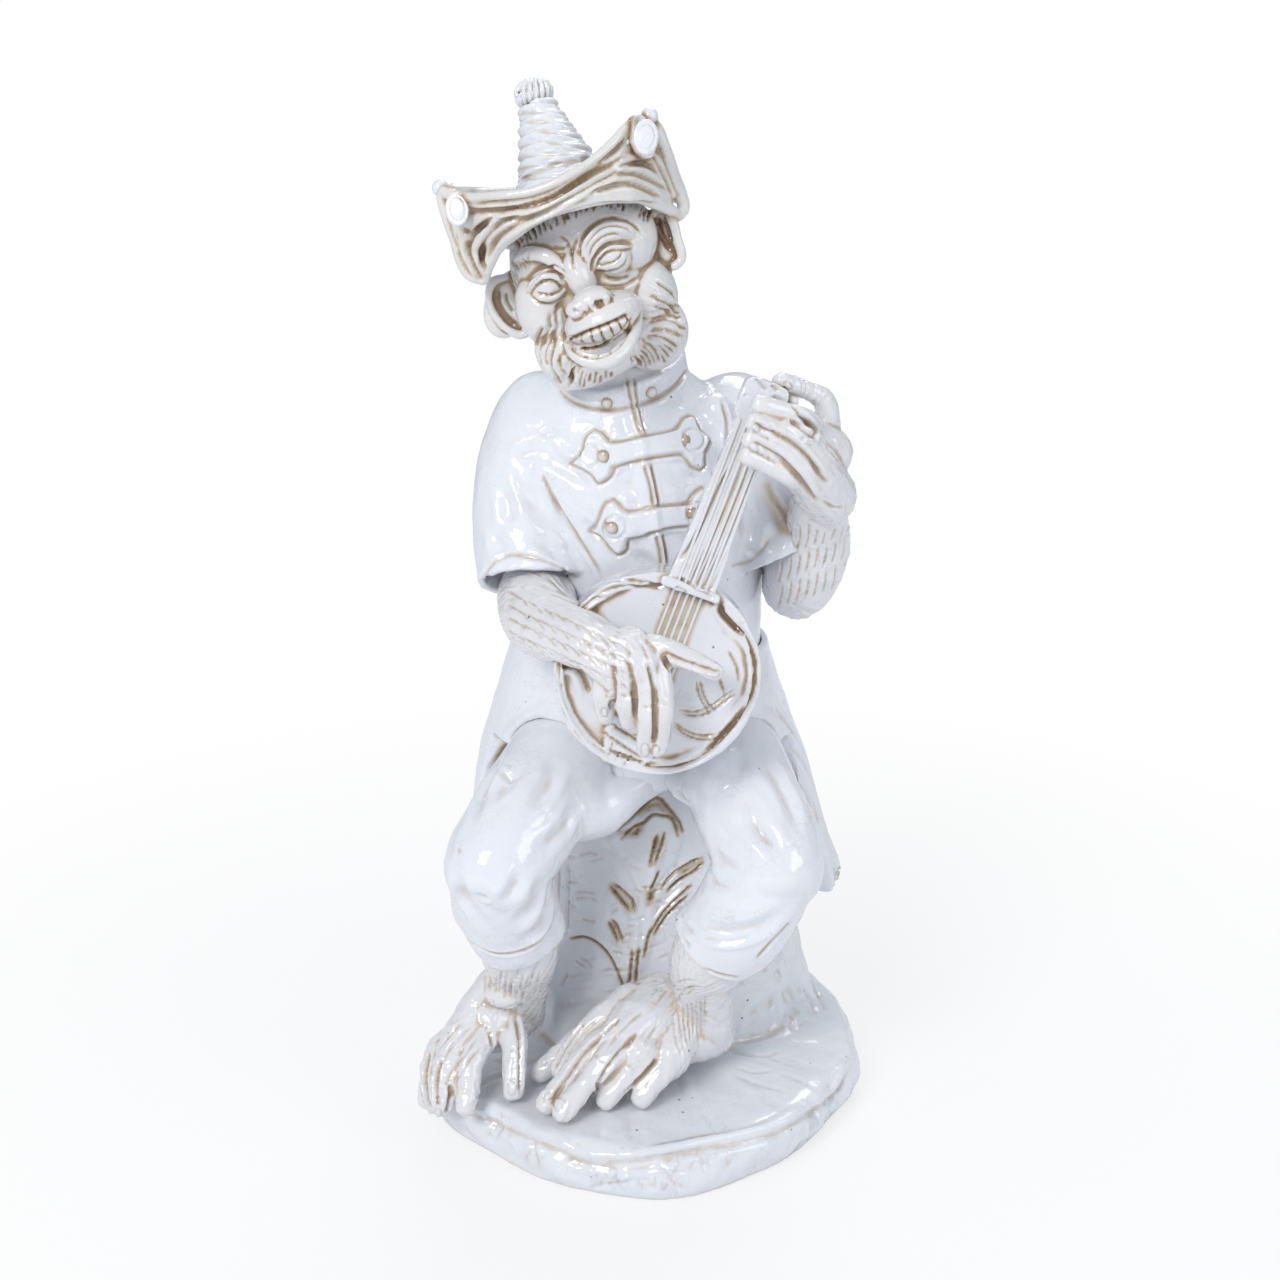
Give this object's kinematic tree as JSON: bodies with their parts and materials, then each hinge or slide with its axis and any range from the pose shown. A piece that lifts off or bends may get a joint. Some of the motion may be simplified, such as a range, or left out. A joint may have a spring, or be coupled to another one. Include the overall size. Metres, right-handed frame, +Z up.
{
  "type": "ceramic monkey figurine",
  "caption": "White glazed earthenware monkey in a jacket and tilted hat, seated on a leafy rock over a round plinth, playing a small round lute.",
  "frame": {"origin": "middle of the flat underside of the plinth", "axes": "+Z up; the figure faces -Y; +X is the viewer's right, the animal's left"},
  "size_m": [0.2282, 0.2542, 0.4986],
  "materials": {
    "white_glaze": "smooth white glaze over cloth, rock and limbs",
    "washed_glaze": "white glaze with brown wash pooled in deep carving",
    "lute_glaze": "smooth white glaze on the lute",
    "hat_glaze": "greyish white glaze with brown wash in folds",
    "skin_glaze": "white glaze over combed fur and skin"
  },
  "bodies": {
    "root": {"banjo_body": "lute_glaze", "banjo_bridge": "lute_glaze", "banjo_headstock": "lute_glaze", "banjo_neck": "lute_glaze", "banjo_nut": "lute_glaze", "banjo_pegs": "lute_glaze", "banjo_rim": "lute_glaze", "banjo_strings": "lute_glaze", "banjo_tailpiece": "lute_glaze", "brim_finials": "hat_glaze", "brim_medallions": "hat_glaze", "coat_skirt": "white_glaze", "collar": "white_glaze", "collar_buttons": "white_glaze", "eyes": "skin_glaze", "frog_buttons": "white_glaze", "hat_brim": "hat_glaze", "hat_crown": "hat_glaze", "head": "skin_glaze", "leaf_plant": "washed_glaze", "left_ear": "skin_glaze", "left_foot": "skin_glaze", "left_forearm": "skin_glaze", "left_hand": "skin_glaze", "left_shin": "skin_glaze", "left_sleeve": "white_glaze", "left_trouser_leg": "white_glaze", "lower_frog": "white_glaze", "lower_lip": "skin_glaze", "lower_teeth": "skin_glaze", "placket": "white_glaze", "plinth": "washed_glaze", "pompom": "hat_glaze", "right_ear": "skin_glaze", "right_foot": "skin_glaze", "right_forearm": "skin_glaze", "right_hand": "skin_glaze", "right_shin": "skin_glaze", "right_sleeve": "white_glaze", "right_trouser_leg": "white_glaze", "rock_mound": "washed_glaze", "torso": "white_glaze", "upper_frog": "white_glaze", "upper_teeth": "skin_glaze", "whisker_ruff": "skin_glaze"}
  },
  "joints": []
}
